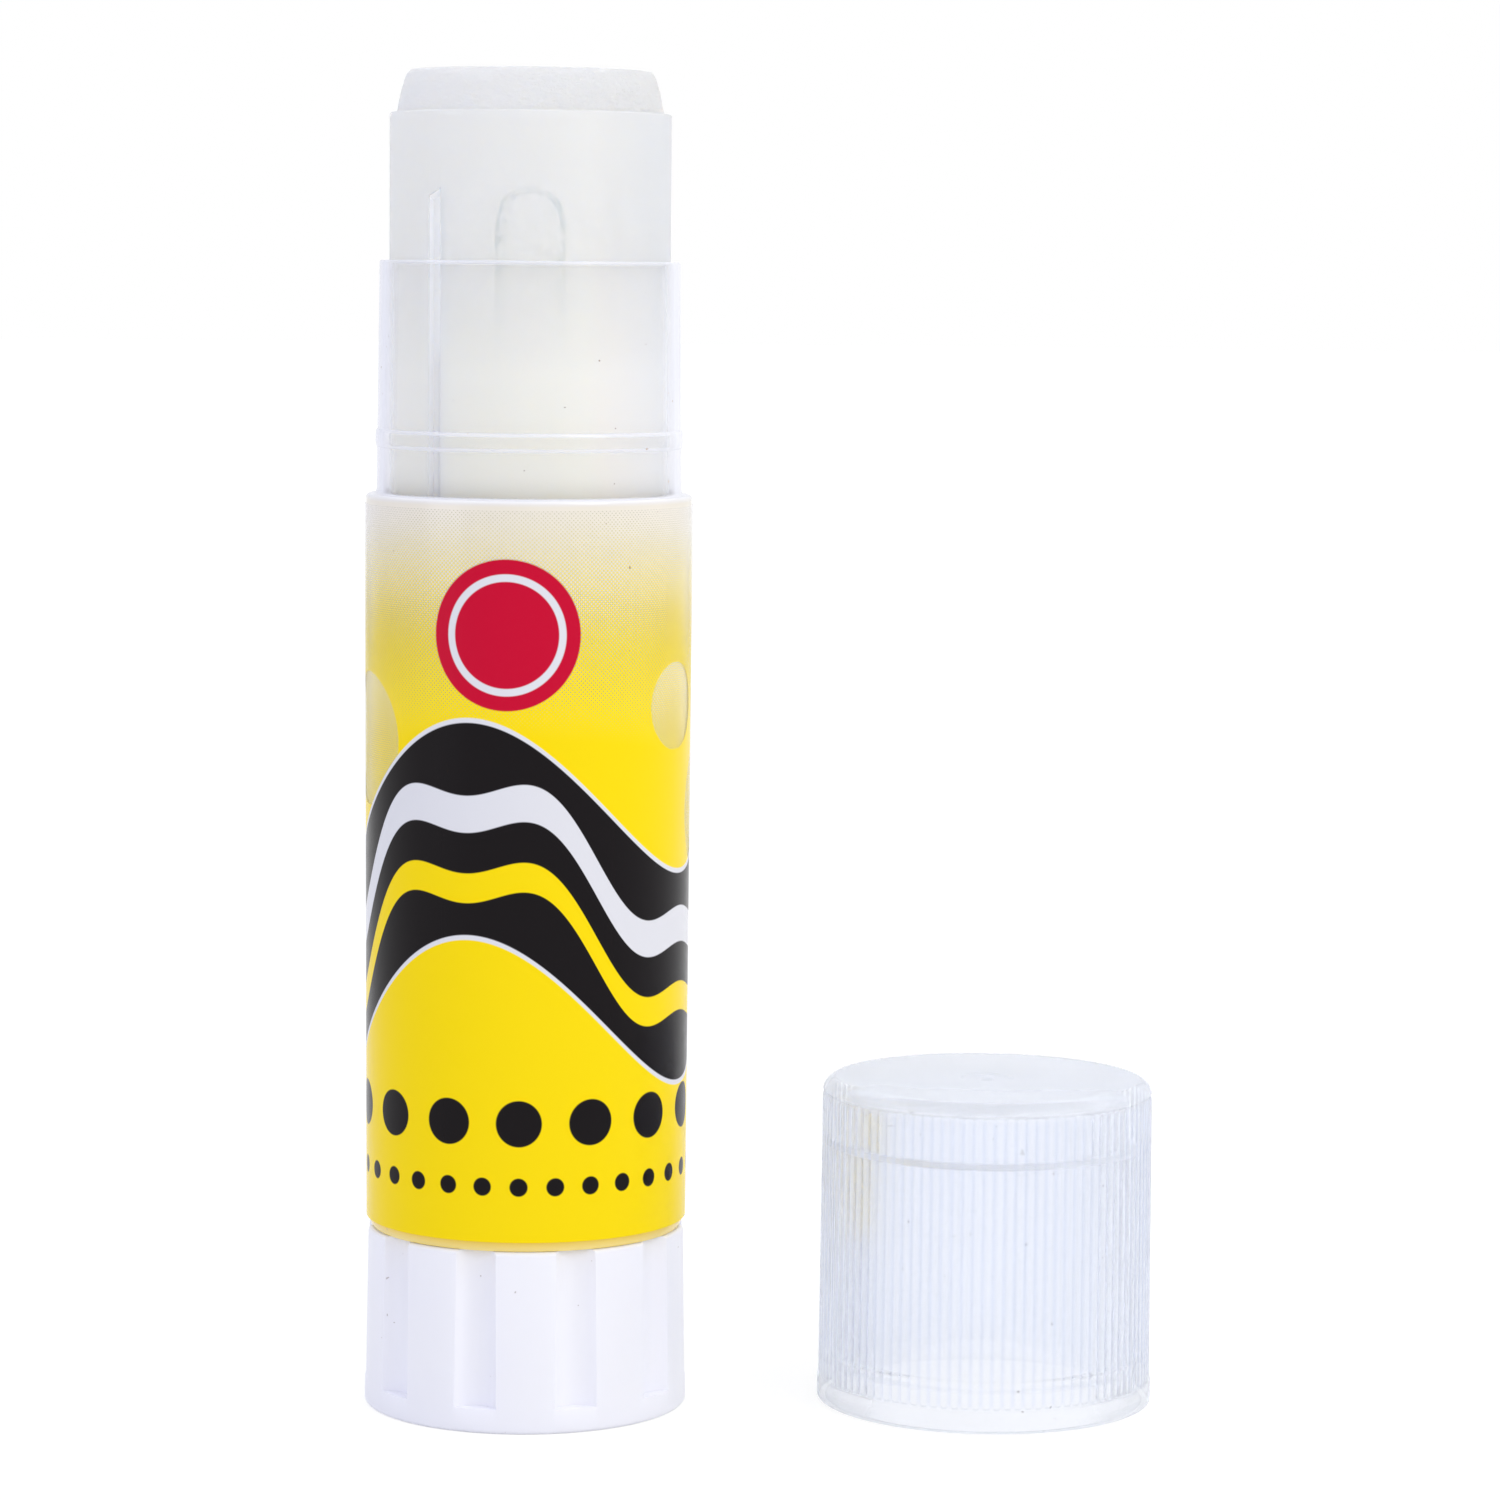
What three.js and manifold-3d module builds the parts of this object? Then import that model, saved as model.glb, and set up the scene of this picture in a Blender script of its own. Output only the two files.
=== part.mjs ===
// A push-up glue stick with its cap taken off and standing beside it.
//
// Millimetres, +Z up. The origin is the centre of the turning knob's flat underside, on the stick's
// axis, and the table is the plane z = 0. The front of the stick faces -Y.

import * as THREE from "three";
import { mergeVertices } from "three/addons/utils/BufferGeometryUtils.js";
import Module from "manifold-3d";

const wasm = await Module();
wasm.setup();

// Clearances
const runningGap = 0.3; // radial gap between a piece that turns or slides and the wall round it
const seatGap = 0.15; // between two pieces that rest on or are set in each other
const filmGap = 0.02; // between the label and the barrel that it is wrapped on
const glueGap = 0.21; // round the glue, which shrank as it set
const glueGrooveGap = 0.2; // round the guide ribs, in the glue that was cast between them

// Knob: the wheel that is turned, with the collar that snaps into the barrel
const knobHeight = 15;
const knobDraft = 0.23; // how much wider it is at its foot than at its top
const knobFloor = 1.8;
const knobEdge = 0.35; // radius of the rounded edges
const fluteCount = 10;
const fluteWidth = 3.5;
const fluteDepth = 1.0;
const fluteFootZ = 2.05;
const fluteTurn = 20.7; // of the first flute, in degrees to the right of the front
const collarLength = 11;
const collarWall = 1.15;
const snapHeight = 5.5; // centre of the snap bead above the knob's top
const snapWidth = 1.2;
const snapProud = 0.5;
const socketDepth = 7.2; // of the hexagonal socket that holds the screw
const socketWall = 1.6;

// Barrel: the long printed body, its shoulder, and the narrower neck that the cap goes on
const boreRadius = 11.75;
const boreLeadIn = 0.5;
const barrelLength = 60.8;
const barrelDraft = 0.2; // how much narrower it is at its foot than at the shoulder
const barrelFootChamfer = 0.7;
const shoulderWidth = 0.85;
const shoulderEdge = 0.3;
const neckLength = 19.1;
const neckWall = 0.6; // at the neck's top
const neckDraft = 0.22; // how much wider the neck is at its foot
const neckFillet = 0.4;
const ringFoot = 3.85; // snap ring round the neck, above the shoulder
const ringHeight = 1.45;
const ringProud = 0.1;
const ribWidth = 1.2; // the two guide ribs inside the barrel
const ribDepth = 0.8;
const ribTopDrop = 6.85; // from the neck's top down to the ribs' upper ends
const ribTaper = 1.4;
const ribTurn = 39.25; // degrees to the left of the front

// Label: a thin printed film round the barrel
const labelThickness = 0.08;
const labelTopMargin = 0.8; // bare barrel above it, up to the shoulder

// Glue, raised above its closed place, where its step is just inside the neck
const glueRaise = 12.5; // how far the stick is turned up
const glueStepDrop = 0.5; // step below the neck's top when the glue is turned right down
const tipHeight = 3.45; // the narrower rounded tip above the step
const tipStep = 0.57; // width of the step
const tipRounding = 1.17; // how much narrower the tip is at its flat top than at its foot
const glueStepEdge = 0.15;
const holeSpare = 1; // of the glue's hole, above the screw's tip when the glue is right down

// Carrier: the cup that holds the glue's foot and climbs the screw
const carrierClearance = 1; // above the knob's collar when it is right down
const carrierHeight = 25;
const carrierWall = 0.9;
const cupDepth = 13;
const carrierFloor = 2;
const nutRadius = 4;
const nutLength = 10;
const rimMargin = 0.55; // carrier's rim below the neck's top when it is right up

// Screw
const screwRadius = 2;
const screwSpare = 5.5; // past the nut when the carrier is right up
const screwTip = 1.2;
const screwFlangeRadius = 4.2;
const screwFlange = 1.4;
const hexAcrossFlats = 5;

// Cap, standing on its open end beside the stick
const capX = 38.6;
const capY = 2.2;
const capWall = 1.3; // at the rim
const capDraft = 0.25; // how much narrower it is at its top than at its rim
const capHeadroom = 3.85; // over the glue's tip when the stick is closed
const capRimBand = 1.95; // height of the plain band below the ribs
const capRimProud = 0.1;
const capShoulder = 1.25; // radius of the rounded top edge
const capEdge = 0.25;
const capRibs = 100;
const capRibDepth = 0.17;
const capRibRunOut = 0.4;
const capTopWall = 1.3;
const capBoreGap = 0.18; // round the neck's widest place
const capLeadIn = 0.35;
const capLeadInHeight = 0.7;
const capBead = 0.2; // snap bead inside the rim
const capBeadDrop = 0.15; // centre of the bead below the foot of the neck's ring when closed
const capBeadHeight = 1.1;
const capLedgeGap = 2.5; // over the neck's top when closed; from there up the wall is thicker
const capLedge = 0.9;
const capLedgeSlope = 0.5;
const capInnerCorner = 0.8;

// Facets round the axis
const barrelFacets = 60;
const innerFacets = 48;
const capInnerFacets = 50;
const screwFacets = 24;
const fluteFacets = 24;
const cornerSteps = 3; // in a rounded edge
const tipSteps = 6; // in the glue's rounded tip
const shoulderSteps = 4; // in the cap's rounded shoulder

// Radii that follow from the sizes above
const neckTopRadius = boreRadius + neckWall;
const neckFootRadius = neckTopRadius + neckDraft;
const barrelTopRadius = neckFootRadius + shoulderWidth;
const barrelFootRadius = barrelTopRadius - barrelDraft;
const knobTopRadius = barrelFootRadius;
const knobFootRadius = knobTopRadius + knobDraft;
const collarRadius = boreRadius - runningGap;
const carrierRadius = boreRadius - runningGap;
const cupRadius = carrierRadius - carrierWall;
const glueRadius = boreRadius - glueGap;
const tipFootRadius = glueRadius - tipStep;
const tipTopRadius = tipFootRadius - tipRounding;
const capBore = neckFootRadius + capBoreGap;
const capRimRadius = capBore + capWall;
const capTopRadius = capRimRadius - capDraft;

// Heights that follow from the sizes above
const barrelFootZ = knobHeight + seatGap;
const shoulderZ = barrelFootZ + barrelLength;
const neckTopZ = shoulderZ + neckLength;
const collarTopZ = knobHeight + collarLength;
const carrierFootZ = collarTopZ + carrierClearance + glueRaise;
const carrierTopZ = carrierFootZ + carrierHeight;
const carrierFloorZ = carrierTopZ - cupDepth;
const fullRaise = neckTopZ - rimMargin - carrierTopZ;
const screwTopZ = carrierFloorZ + fullRaise + screwSpare;
const glueStepZ = neckTopZ - glueStepDrop + glueRaise;
const glueFootZ = carrierFloorZ + seatGap;
const ribTopZ = neckTopZ - ribTopDrop;
const ribFootZ = collarTopZ + carrierClearance;
const socketTopZ = knobFloor + socketDepth;
const snapZ = knobHeight + snapHeight;
const capHeight = neckLength - glueStepDrop + tipHeight + capHeadroom + capTopWall;
const capBeadZ = ringFoot - capBeadDrop;
const capLedgeZ = neckLength + capLedgeGap;

// Points of a rounded corner from one angle to another, in degrees, about a centre in the profile.
function corner(centreR, centreZ, radius, fromDeg, toDeg, steps = cornerSteps) {
  const points = [];
  for (let i = 0; i <= steps; i++) {
    const angle = THREE.MathUtils.degToRad(fromDeg + ((toDeg - fromDeg) * i) / steps);
    points.push([centreR + radius * Math.cos(angle), centreZ + radius * Math.sin(angle)]);
  }
  return points;
}

// A profile of [radius, height] points, up the outside and down the inside, turned about the Z axis.
function turned(points, facets) {
  const profile = points.map(([r, z]) => new THREE.Vector2(r, z));
  return new THREE.LatheGeometry(profile, facets).rotateX(Math.PI / 2);
}

// A closed geometry as a solid that can be cut and joined.
function solid(geometry) {
  const bare = geometry.clone();
  bare.deleteAttribute("normal");
  bare.deleteAttribute("uv");
  const merged = mergeVertices(bare, 1e-5);
  const index = merged.index.array;
  const kept = [];
  for (let i = 0; i < index.length; i += 3) {
    const [a, b, c] = [index[i], index[i + 1], index[i + 2]];
    if (a !== b && b !== c && c !== a) kept.push(a, b, c);
  }
  const vertProperties = new Float32Array(merged.attributes.position.array);
  return new wasm.Manifold(new wasm.Mesh({ numProp: 3, vertProperties, triVerts: new Uint32Array(kept) }));
}

// A solid as a named mesh with its own material.
function piece(name, body, material) {
  const mesh = body.getMesh();
  const geometry = new THREE.BufferGeometry();
  geometry.setAttribute("position", new THREE.BufferAttribute(new Float32Array(mesh.vertProperties), 3));
  geometry.setIndex([...mesh.triVerts]);
  geometry.computeVertexNormals();
  const result = new THREE.Mesh(geometry, material);
  result.name = name;
  return result;
}

// Turn from +X, in radians, of a place given in degrees to the right of the front.
function fromFront(degrees) {
  return THREE.MathUtils.degToRad(degrees - 90);
}

// Two bars on opposite sides of the bore: the guide ribs, or with a gap the grooves that run on them.
// They reach outwards into the wall, and their upper ends slope back to it.
function guideBars({ reach, gap, footZ, topZ }) {
  const inner = boreRadius - ribDepth - gap;
  const outer = boreRadius + reach;
  const side = new THREE.Shape([
    new THREE.Vector2(inner, footZ),
    new THREE.Vector2(outer, footZ),
    new THREE.Vector2(outer, topZ),
    new THREE.Vector2(boreRadius, topZ),
    new THREE.Vector2(inner, topZ - ribTaper),
  ]);
  const width = ribWidth + 2 * gap;
  const bars = [0, 180].map((turn) => {
    const bar = new THREE.ExtrudeGeometry(side, { depth: width, bevelEnabled: false });
    bar.translate(0, 0, -width / 2).rotateX(Math.PI / 2).rotateZ(fromFront(turn - ribTurn));
    return solid(bar);
  });
  return bars[0].add(bars[1]);
}

// Corner radius of a hexagon whose flats are at a distance from its centre.
function hexCorner(flats) {
  return flats / Math.cos(Math.PI / 6);
}

// An upright hexagonal bar on the axis.
function hexBar(flats, footZ, topZ) {
  const bar = new THREE.CylinderGeometry(hexCorner(flats), hexCorner(flats), topZ - footZ, 6);
  return solid(bar.rotateX(Math.PI / 2).translate(0, 0, (footZ + topZ) / 2));
}

// Outside radius of the barrel at a height.
function barrelRadiusAt(z) {
  return THREE.MathUtils.mapLinear(z, barrelFootZ, shoulderZ, barrelFootRadius, barrelTopRadius);
}

// Outside radius of the neck at a height.
function neckRadiusAt(z) {
  return THREE.MathUtils.mapLinear(z, shoulderZ, neckTopZ, neckFootRadius, neckTopRadius);
}

function makeKnob(material) {
  const cavityRadius = collarRadius - collarWall;
  const socketFlats = hexAcrossFlats / 2 + seatGap;
  const socketRadius = hexCorner(socketFlats) + socketWall;
  const profile = [
    [0, 0],
    ...corner(knobFootRadius - knobEdge, knobEdge, knobEdge, -90, 0),
    ...corner(knobTopRadius - knobEdge, knobHeight - knobEdge, knobEdge, 0, 90),
    [collarRadius, knobHeight],
    [collarRadius, snapZ - snapWidth],
    [collarRadius + snapProud, snapZ - snapWidth / 2],
    [collarRadius + snapProud, snapZ + snapWidth / 2],
    [collarRadius, snapZ + snapWidth * 1.5],
    [collarRadius, collarTopZ],
    [cavityRadius, collarTopZ],
    [cavityRadius, knobFloor],
    [socketRadius, knobFloor],
    [socketRadius, socketTopZ],
    [0, socketTopZ],
  ];
  let body = solid(turned(profile, barrelFacets));

  body = body.subtract(hexBar(socketFlats, knobFloor, socketTopZ + 1));

  const fluteRadius = (fluteWidth ** 2 / 4 + fluteDepth ** 2) / (2 * fluteDepth);
  const fluteLength = knobHeight - fluteFootZ + 1;
  for (let i = 0; i < fluteCount; i++) {
    const flute = new THREE.CylinderGeometry(fluteRadius, fluteRadius, fluteLength, fluteFacets);
    flute.rotateX(Math.PI / 2);
    flute.translate(knobTopRadius - fluteDepth + fluteRadius, 0, fluteFootZ + fluteLength / 2);
    flute.rotateZ(fromFront(fluteTurn + (360 / fluteCount) * i));
    body = body.subtract(solid(flute));
  }
  return piece("knob", body, material);
}

function makeScrew(material) {
  const shaftFootZ = socketTopZ + seatGap;
  const key = hexBar(hexAcrossFlats / 2, knobFloor + seatGap, shaftFootZ + screwFlange / 2);
  const profile = [
    [0, shaftFootZ],
    [screwFlangeRadius, shaftFootZ],
    [screwFlangeRadius, shaftFootZ + screwFlange],
    [screwRadius, shaftFootZ + screwFlange],
    [screwRadius, screwTopZ - screwTip],
    [screwRadius / 2, screwTopZ],
    [0, screwTopZ],
  ];
  return piece("screw", solid(turned(profile, screwFacets)).add(key), material);
}

function makeBarrel(material) {
  const grooveRadius = collarRadius + snapProud + runningGap;
  const chamferZ = barrelFootZ + barrelFootChamfer;
  const ringZ = shoulderZ + ringFoot;
  const ringTopZ = ringZ + ringHeight;
  const lip = shoulderEdge;
  const filletR = neckRadiusAt(shoulderZ + neckFillet) + neckFillet;
  const neckEdge = (neckTopRadius - boreRadius) / 3;
  const outside = [
    [barrelFootRadius - barrelFootChamfer / 2, barrelFootZ],
    [barrelRadiusAt(chamferZ), chamferZ],
    ...corner(barrelTopRadius - lip, shoulderZ - lip, lip, 0, 90),
    ...corner(filletR, shoulderZ + neckFillet, neckFillet, 270, 180),
    [neckRadiusAt(ringZ), ringZ],
    [neckRadiusAt(ringZ) + ringProud, ringZ + ringProud],
    [neckRadiusAt(ringTopZ) + ringProud, ringTopZ - ringProud],
    [neckRadiusAt(ringTopZ), ringTopZ],
    ...corner(neckTopRadius - neckEdge, neckTopZ - neckEdge, neckEdge, 0, 90, 2),
  ];
  const inside = [
    [boreRadius, neckTopZ],
    [boreRadius, snapZ + snapWidth * 2],
    [grooveRadius, snapZ + snapWidth],
    [grooveRadius, snapZ - snapWidth],
    [boreRadius, snapZ - snapWidth * 2],
    [boreRadius, barrelFootZ + boreLeadIn],
    [boreRadius + boreLeadIn / 2, barrelFootZ],
  ];
  const shell = solid(turned([...outside, ...inside, outside[0]], barrelFacets));
  const reach = (neckTopRadius - boreRadius) / 2;
  const ribs = guideBars({ reach, gap: 0, footZ: ribFootZ, topZ: ribTopZ });
  return piece("barrel", shell.add(ribs), material);
}

function makeLabel(material) {
  const footZ = barrelFootZ + barrelFootChamfer;
  const topZ = shoulderZ - labelTopMargin;
  const inside = (z) => barrelRadiusAt(z) + filmGap;
  const profile = [
    [inside(footZ), footZ],
    [inside(footZ) + labelThickness, footZ],
    [inside(topZ) + labelThickness, topZ],
    [inside(topZ), topZ],
    [inside(footZ), footZ],
  ];
  return piece("label", solid(turned(profile, barrelFacets)), material);
}

function makeGlue(material) {
  const holeRadius = screwRadius + runningGap;
  const holeTopZ = screwTopZ + glueRaise + holeSpare;
  const footRadius = cupRadius - seatGap;
  const rimZ = carrierTopZ + seatGap;
  const tip = [];
  for (let i = 0; i <= tipSteps; i++) {
    const angle = (Math.PI / 2) * (1 - i / tipSteps);
    const bulge = (tipFootRadius - tipTopRadius) * Math.sin(angle);
    tip.push([tipTopRadius + bulge, glueStepZ + tipHeight * Math.cos(angle)]);
  }
  const profile = [
    [holeRadius, glueFootZ],
    [footRadius, glueFootZ],
    [footRadius, rimZ],
    [glueRadius, rimZ],
    ...corner(glueRadius - glueStepEdge, glueStepZ - glueStepEdge, glueStepEdge, 0, 90, 2),
    ...tip,
    [0, glueStepZ + tipHeight],
    [0, holeTopZ],
    [holeRadius / 2, holeTopZ],
    [holeRadius, holeTopZ - holeRadius / 2],
    [holeRadius, glueFootZ],
  ];
  const topZ = ribTopZ + glueRaise;
  const grooves = guideBars({ reach: 1, gap: glueGrooveGap, footZ: glueFootZ - 1, topZ });
  return piece("glue", solid(turned(profile, barrelFacets)).subtract(grooves), material);
}

function makeCarrier(material) {
  const skirtRadius = carrierRadius - carrierWall;
  const floorUnderZ = carrierFloorZ - carrierFloor;
  const nutFootZ = carrierFloorZ - nutLength;
  const nutBore = screwRadius + runningGap;
  const profile = [
    [skirtRadius, carrierFootZ],
    [carrierRadius, carrierFootZ],
    [carrierRadius, carrierTopZ],
    [cupRadius, carrierTopZ],
    [cupRadius, carrierFloorZ],
    [nutBore, carrierFloorZ],
    [nutBore, nutFootZ],
    [nutRadius, nutFootZ],
    [nutRadius, floorUnderZ],
    [skirtRadius, floorUnderZ],
    [skirtRadius, carrierFootZ],
  ];
  const topZ = carrierTopZ + ribTaper + 1;
  const grooves = guideBars({ reach: 1, gap: runningGap, footZ: carrierFootZ - 1, topZ });
  return piece("carrier", solid(turned(profile, innerFacets)).subtract(grooves), material);
}

// Outside radius of the cap at a height, on the crests of its ribs.
function capRadiusAt(z) {
  const shoulderFootZ = capHeight - capShoulder;
  return THREE.MathUtils.mapLinear(z, capRimBand, shoulderFootZ, capRimRadius - capRimProud, capTopRadius);
}

// A closed solid of rings round the Z axis, from the bottom up. Each ring is [radius, height, depth of
// the grooves between the ribs], and a ring has one point on each rib's crest and one in each groove.
function ribbed(rings, ribs) {
  const columns = ribs * 2;
  const positions = [0, 0, rings[0][1]];
  for (const [radius, z, groove] of rings) {
    for (let column = 0; column < columns; column++) {
      const angle = (column / columns) * 2 * Math.PI;
      const r = column % 2 === 0 ? radius : radius - groove;
      positions.push(r * Math.cos(angle), r * Math.sin(angle), z);
    }
  }
  const top = positions.length / 3;
  positions.push(0, 0, rings[rings.length - 1][1]);
  const at = (ring, column) => 1 + ring * columns + (column % columns);
  const index = [];
  for (let column = 0; column < columns; column++) {
    index.push(0, at(0, column + 1), at(0, column));
    for (let ring = 0; ring < rings.length - 1; ring++) {
      const [a, b] = [at(ring, column), at(ring, column + 1)];
      const [c, d] = [at(ring + 1, column + 1), at(ring + 1, column)];
      index.push(a, b, c, a, c, d);
    }
    index.push(top, at(rings.length - 1, column), at(rings.length - 1, column + 1));
  }
  const geometry = new THREE.BufferGeometry();
  geometry.setAttribute("position", new THREE.Float32BufferAttribute(positions, 3));
  geometry.setIndex(index);
  return geometry;
}

function makeCap(material) {
  const shoulderFootZ = capHeight - capShoulder;
  const ribFoot = capRimBand + capRibRunOut;
  const ribTop = shoulderFootZ - capRibRunOut;
  const rim = corner(capRimRadius - capEdge, capEdge, capEdge, -90, 0, 2);
  const shoulder = corner(capTopRadius - capShoulder, shoulderFootZ, capShoulder, 0, 90, shoulderSteps);
  const rings = [
    ...rim.map(([r, z]) => [r, z, 0]),
    [capRimRadius, capRimBand - capRimProud, 0],
    [capRadiusAt(capRimBand), capRimBand, 0],
    [capRadiusAt(ribFoot), ribFoot, capRibDepth],
    [capRadiusAt(ribTop), ribTop, capRibDepth],
    ...shoulder.map(([r, z]) => [r, z, 0]),
  ];

  const ceilingZ = capHeight - capTopWall;
  const upperBore = capBore - capLedge;
  const hollow = [
    [0, -1],
    [capBore + capLeadIn, -1],
    [capBore + capLeadIn, 0],
    [capBore, capLeadInHeight],
    [capBore, capBeadZ - capBeadHeight / 2],
    [capBore - capBead, capBeadZ - capBeadHeight / 6],
    [capBore - capBead, capBeadZ + capBeadHeight / 6],
    [capBore, capBeadZ + capBeadHeight / 2],
    [capBore, capLedgeZ],
    [upperBore, capLedgeZ + capLedgeSlope],
    ...corner(upperBore - capInnerCorner, ceilingZ - capInnerCorner, capInnerCorner, 0, 90),
    [0, ceilingZ],
  ];
  const shell = solid(ribbed(rings, capRibs)).subtract(solid(turned(hollow, capInnerFacets)));
  const cap = piece("cap", shell, material);
  cap.position.set(capX, capY, 0);
  return cap;
}

// Materials
const clearPlastic = { transparent: true, roughness: 0.25, metalness: 0 };
const knobPlastic = new THREE.MeshStandardMaterial({ color: 0xf2f2fb, roughness: 0.35, metalness: 0 });
const screwPlastic = new THREE.MeshStandardMaterial({ color: 0xeeeef2, roughness: 0.4, metalness: 0 });
const carrierPlastic = new THREE.MeshStandardMaterial({ color: 0xf4f4f6, roughness: 0.4, metalness: 0 });
const barrelPlastic = new THREE.MeshStandardMaterial({ color: 0xe9eaee, opacity: 0.6, ...clearPlastic });
const capPlastic = new THREE.MeshStandardMaterial({ color: 0xe6ebfa, opacity: 0.5, ...clearPlastic });
const labelFilm = new THREE.MeshStandardMaterial({ color: 0xfbd90f, roughness: 0.3, metalness: 0 });
const gluePaste = new THREE.MeshStandardMaterial({ color: 0xececea, roughness: 0.45, metalness: 0 });

const stick = new THREE.Group();
stick.add(makeKnob(knobPlastic), makeScrew(screwPlastic));
stick.add(makeBarrel(barrelPlastic), makeLabel(labelFilm));
stick.add(makeCarrier(carrierPlastic), makeGlue(gluePaste));

const glueStick = new THREE.Group();
glueStick.add(stick, makeCap(capPlastic));

export default glueStick;
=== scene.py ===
# %% [markdown]
# A glue stick stands on its turning knob with the glue turned up, and its clear cap stands beside
# it. The working model of the stick is loaded first and is never moved. Everything after that
# dresses it: each plain solid gets a finely turned piece in its place, and its finish.

# %% Load the working model
import math

import bpy
from mathutils import Matrix, Vector


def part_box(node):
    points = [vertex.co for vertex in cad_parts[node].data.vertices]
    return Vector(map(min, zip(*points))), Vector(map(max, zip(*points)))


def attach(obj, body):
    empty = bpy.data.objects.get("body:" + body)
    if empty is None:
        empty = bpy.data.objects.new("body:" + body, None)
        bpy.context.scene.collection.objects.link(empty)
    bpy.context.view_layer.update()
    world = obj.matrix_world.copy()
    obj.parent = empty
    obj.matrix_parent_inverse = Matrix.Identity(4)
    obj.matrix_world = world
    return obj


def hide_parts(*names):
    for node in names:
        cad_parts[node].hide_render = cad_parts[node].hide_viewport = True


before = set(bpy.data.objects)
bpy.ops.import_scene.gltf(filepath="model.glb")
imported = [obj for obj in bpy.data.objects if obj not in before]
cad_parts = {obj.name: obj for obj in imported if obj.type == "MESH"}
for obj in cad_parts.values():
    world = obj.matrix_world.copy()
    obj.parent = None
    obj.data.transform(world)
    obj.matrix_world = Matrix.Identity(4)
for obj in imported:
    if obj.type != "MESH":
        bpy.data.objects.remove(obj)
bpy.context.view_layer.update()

MM = 0.001

# %% [markdown]
# The sizes that every piece shares come from the boxes of the working model, so that a piece always
# fits the solid that it stands for. Only what a box can't tell, such as the height of the shoulder,
# is written down here, in millimetres.

# %% Sizes that the pieces share
knob_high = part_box("knob")[1]
screw_low, screw_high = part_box("screw")
barrel_low, barrel_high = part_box("barrel")
label_low, label_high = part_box("label")
carrier_low, carrier_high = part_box("carrier")
glue_low, glue_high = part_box("glue")
cap_low, cap_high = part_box("cap")

knob_foot_radius = knob_high.x
barrel_top_radius = barrel_high.x
barrel_foot_z = barrel_low.z
neck_top_z = barrel_high.z
label_radius = label_high.x
cap_centre = (cap_low + cap_high) / 2
cap_rim_radius = (cap_high.x - cap_low.x) / 2
cap_height = cap_high.z

neck_length = 19.1 * MM
shoulder_z = neck_top_z - neck_length
barrel_draft = 0.2 * MM
barrel_foot_radius = barrel_top_radius - barrel_draft
neck_foot_radius = barrel_top_radius - 0.85 * MM
neck_top_radius = neck_foot_radius - 0.22 * MM
bore_radius = neck_top_radius - 0.6 * MM
collar_radius = bore_radius - 0.3 * MM
knob_top_z = barrel_foot_z - 0.15 * MM
rib_turn = -39.25
rib_width = 1.2 * MM
rib_depth = 0.8 * MM
rib_top_z = neck_top_z - 6.85 * MM
screw_radius = 2 * MM
print("shoulder at", round(shoulder_z / MM, 2), "bore", round(bore_radius / MM, 2))

# %% [markdown]
# The camera stands where the photographer's stood: about 0.4 m away, a little to the right of the
# stick and above it, looking down by a few degrees with a long lens. It leans by half a degree,
# because the picture was taken a little out of level.

# %% Camera
camera_place = Vector((18.41, -397.46, 94.17)) * MM
look_down = math.radians(5.65)
lean = math.radians(0.52)
lens_mm = 115.52
sensor_mm = 36

camera_data = bpy.data.cameras.new("camera")
camera_data.sensor_width = sensor_mm
camera_data.lens = lens_mm
camera_data.clip_start = 0.01
camera = bpy.data.objects.new("camera", camera_data)
bpy.context.scene.collection.objects.link(camera)
tilt = Matrix.Rotation(math.pi / 2 - look_down, 4, "X")
camera.matrix_world = Matrix.Translation(camera_place) @ tilt @ Matrix.Rotation(lean, 4, "Z")
bpy.context.scene.camera = camera
print("camera is", round(camera_place.length, 3), "m from the foot of the stick")

# %% [markdown]
# Nodes are written with small helpers. One adds a node and sets its values, and others do sums with
# Math nodes, so that a pattern reads like the formula that it is. A sum is done in the tree that
# its inputs belong to. A value that is the same all over is set on the shader's own socket.

# %% Node helpers
def add_node(tree, kind, inputs=None, **settings):
    """A new node with its settings, and its inputs set or linked by name."""
    node = tree.nodes.new(kind)
    for key, value in settings.items():
        setattr(node, key, value)
    give(node, inputs or {})
    return node


def put(socket, value):
    """Link a socket to an input, or set the input to a plain value."""
    if isinstance(value, bpy.types.NodeSocket):
        socket.id_data.links.new(value, socket)
    else:
        socket.default_value = value


def give(node, inputs):
    """Set or link the inputs of a node by name."""
    for key, value in inputs.items():
        put(node.inputs[key], value)


def calc(operation, *values):
    """The result of one Math node."""
    tree = next(value.id_data for value in values if isinstance(value, bpy.types.NodeSocket))
    node = add_node(tree, "ShaderNodeMath", operation=operation)
    for socket, value in zip(node.inputs, values):
        put(socket, value)
    return node.outputs[0]


def times(*values):
    """The product of several values."""
    product = values[0]
    for value in values[1:]:
        product = calc("MULTIPLY", product, value)
    return product


def largest(*values):
    """The largest of several values."""
    top = values[0]
    for value in values[1:]:
        top = calc("MAXIMUM", top, value)
    return top


def parts_of(place):
    """The x, y and z of a place."""
    node = add_node(place.id_data, "ShaderNodeSeparateXYZ", {"Vector": place})
    return [node.outputs[name] for name in "XYZ"]


def reach_of(x, y):
    """How far a point (x, y) is from the middle."""
    squares = [calc("POWER", side, 2) for side in (x, y)]
    return calc("SQRT", calc("ADD", *squares))


def mix_colours(share, first, second):
    """A colour between two others."""
    inputs = {0: share, 6: first, 7: second}
    return add_node(share.id_data, "ShaderNodeMix", inputs, data_type="RGBA").outputs[2]


def mix_values(share, first, second):
    """A value between two others."""
    return add_node(share.id_data, "ShaderNodeMix", {0: share, 2: first, 3: second}).outputs[0]


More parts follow.
